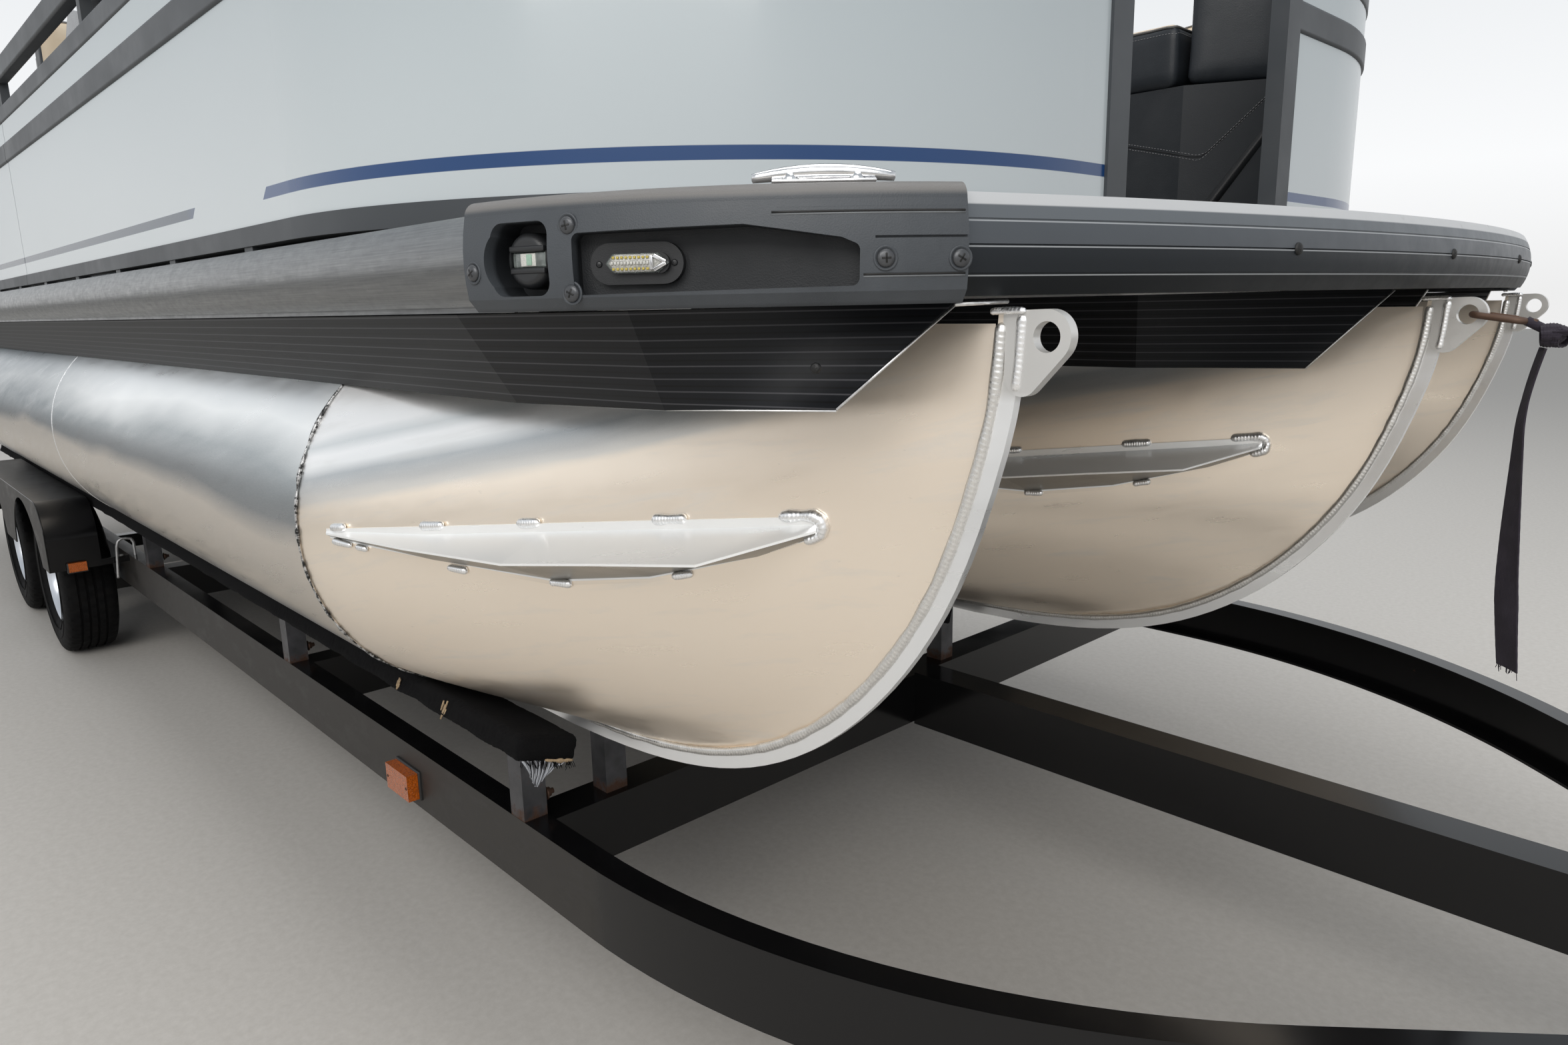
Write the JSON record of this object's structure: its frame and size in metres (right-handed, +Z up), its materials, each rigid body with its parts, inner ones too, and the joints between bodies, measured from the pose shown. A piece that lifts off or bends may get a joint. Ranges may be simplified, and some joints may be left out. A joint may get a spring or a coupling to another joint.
{
  "type": "pontoon boat on trailer",
  "caption": "Aluminium pontoon boat with fenced deck, lounges, helm and outboard motor, on its tandem-axle bunk trailer.",
  "frame": {"origin": "centre of the bounding box's footprint, on the ground under the trailer's wheels", "axes": "+X to the bow and the trailer's coupler, +Y to port, +Z up"},
  "size_m": [10.3813, 2.6234, 2.3455],
  "materials": {
    "base_plastic": "matt",
    "black_rubber": "matt",
    "bunk_carpet": "matt",
    "console_gloss": "gloss",
    "dark_plastic": "matt",
    "deck_wood": "matt",
    "fence_grey": "satin",
    "hull_aluminium": "satin",
    "lamp_clear": "gloss",
    "lens_amber": "gloss",
    "motor_black": "gloss",
    "panel_blue": "gloss",
    "rail_aluminium": "satin",
    "rim_silver": "satin",
    "screen_glass": "gloss",
    "skirt_black": "satin",
    "steel": "polished",
    "strap_webbing": "matt",
    "trailer_black": "satin",
    "tyre_rubber": "matt",
    "vinyl_beige": "satin",
    "vinyl_charcoal": "satin"
  },
  "bodies": {
    "boat": {"bow_corner_caps": "dark_plastic", "bow_lamps": "lamp_clear", "bumper_bow": "black_rubber", "bunk_boards": "bunk_carpet", "bunk_brackets": "trailer_black", "chair_pedestal": "rail_aluminium", "cleats": "steel", "coupler": "trailer_black", "cross_members": "hull_aluminium", "deck": "deck_wood", "deck_skirts": "skirt_black", "fence_base_rails": "fence_grey", "fence_panels_port": "panel_blue", "fence_panels_starboard": "panel_blue", "fence_rails_port": "fence_grey", "fence_rails_starboard": "fence_grey", "fenders": "trailer_black", "gate_hinges": "steel", "helm_console": "console_gloss", "ladder_bracket": "steel", "lounge_backs": "vinyl_charcoal", "lounge_bases": "base_plastic", "lounge_seats": "vinyl_charcoal", "motor_bracket": "motor_black", "motor_pod": "hull_aluminium", "rub_rails": "rail_aluminium", "strap_hook": "steel", "strap_tail": "strap_webbing", "tongue_jack": "trailer_black", "trailer_axles": "trailer_black", "trailer_beam": "trailer_black", "trailer_crossmembers": "trailer_black", "trailer_lamps": "lens_amber", "trailer_rails": "trailer_black", "tube_center": "hull_aluminium", "tube_port": "hull_aluminium", "tube_starboard": "hull_aluminium", "winch": "steel", "winch_stand": "trailer_black", "winch_strap": "strap_webbing", "windscreen": "screen_glass"},
    "gate_bow": {"gate_bow": "fence_grey"},
    "gate_side": {"gate_side": "fence_grey"},
    "gate_stern": {"gate_stern": "fence_grey"},
    "ladder": {"boarding_ladder": "steel"},
    "chair": {"chair_shell": "console_gloss", "chair_cushions": "vinyl_beige"},
    "wheel_helm": {"steering_wheel": "black_rubber"},
    "motor_tilt": {"motor_swivel": "motor_black"},
    "motor": {"motor_leg": "motor_black", "motor_cowl": "motor_black"},
    "propeller": {"propeller": "steel"},
    "wheel_front_starboard": {"tyre_front_starboard": "tyre_rubber", "rim_front_starboard": "rim_silver"},
    "wheel_front_port": {"tyre_front_port": "tyre_rubber", "rim_front_port": "rim_silver"},
    "wheel_rear_starboard": {"tyre_rear_starboard": "tyre_rubber", "rim_rear_starboard": "rim_silver"},
    "wheel_rear_port": {"tyre_rear_port": "tyre_rubber", "rim_rear_port": "rim_silver"}
  },
  "joints": [
    {"name": "gate_bow_swing", "type": "hinge", "parent": "boat", "child": "gate_bow", "pos_m": [2.469, -0.357, 1.4], "axis": [0, 0, -1], "range_deg": [0, 90]},
    {"name": "gate_side_swing", "type": "hinge", "parent": "boat", "child": "gate_side", "pos_m": [-0.456, 1.228, 1.4], "axis": [0, 0, -1], "range_deg": [0, 90]},
    {"name": "gate_stern_swing", "type": "hinge", "parent": "boat", "child": "gate_stern", "pos_m": [-3.663, -0.316, 1.4], "axis": [0, 0, -1], "range_deg": [0, 90]},
    {"name": "ladder_fold", "type": "hinge", "parent": "boat", "child": "ladder", "pos_m": [-4.458, -0.72, 1.3355], "axis": [0, -1, 0], "range_deg": [0, 172]},
    {"name": "chair_swivel", "type": "hinge", "parent": "boat", "child": "chair", "pos_m": [-1.33, -0.76, 1.7], "axis": [0, 0, 1], "range_deg": [-180, 180]},
    {"name": "helm_turn", "type": "hinge", "parent": "boat", "child": "wheel_helm", "pos_m": [-0.695, -0.72, 1.985], "axis": [0.8192, 0, -0.5736], "range_deg": [-540, 540]},
    {"name": "motor_tilt", "type": "hinge", "parent": "boat", "child": "motor_tilt", "pos_m": [-4.66, 0, 1.33], "axis": [0, 1, 0], "range_deg": [0, 60]},
    {"name": "motor_steer", "type": "hinge", "parent": "motor_tilt", "child": "motor", "pos_m": [-4.73, 0, 1.2], "axis": [0, 0, 1], "range_deg": [-30, 30]},
    {"name": "propeller_spin", "type": "hinge", "parent": "motor", "child": "propeller", "pos_m": [-5.034, 0, 0.59], "axis": [1, 0, 0], "continuous": true},
    {"name": "wheel_front_starboard_roll", "type": "hinge", "parent": "boat", "child": "wheel_front_starboard", "pos_m": [-1.42, -1.156, 0.295], "axis": [0, 1, 0], "continuous": true},
    {"name": "wheel_front_port_roll", "type": "hinge", "parent": "boat", "child": "wheel_front_port", "pos_m": [-1.42, 1.156, 0.295], "axis": [0, 1, 0], "continuous": true},
    {"name": "wheel_rear_starboard_roll", "type": "hinge", "parent": "boat", "child": "wheel_rear_starboard", "pos_m": [-2.265, -1.156, 0.295], "axis": [0, 1, 0], "continuous": true},
    {"name": "wheel_rear_port_roll", "type": "hinge", "parent": "boat", "child": "wheel_rear_port", "pos_m": [-2.265, 1.156, 0.295], "axis": [0, 1, 0], "continuous": true}
  ],
  "couplings": [
    {"joint": "helm_turn", "follows": "motor_steer", "ratio": 18}
  ]
}
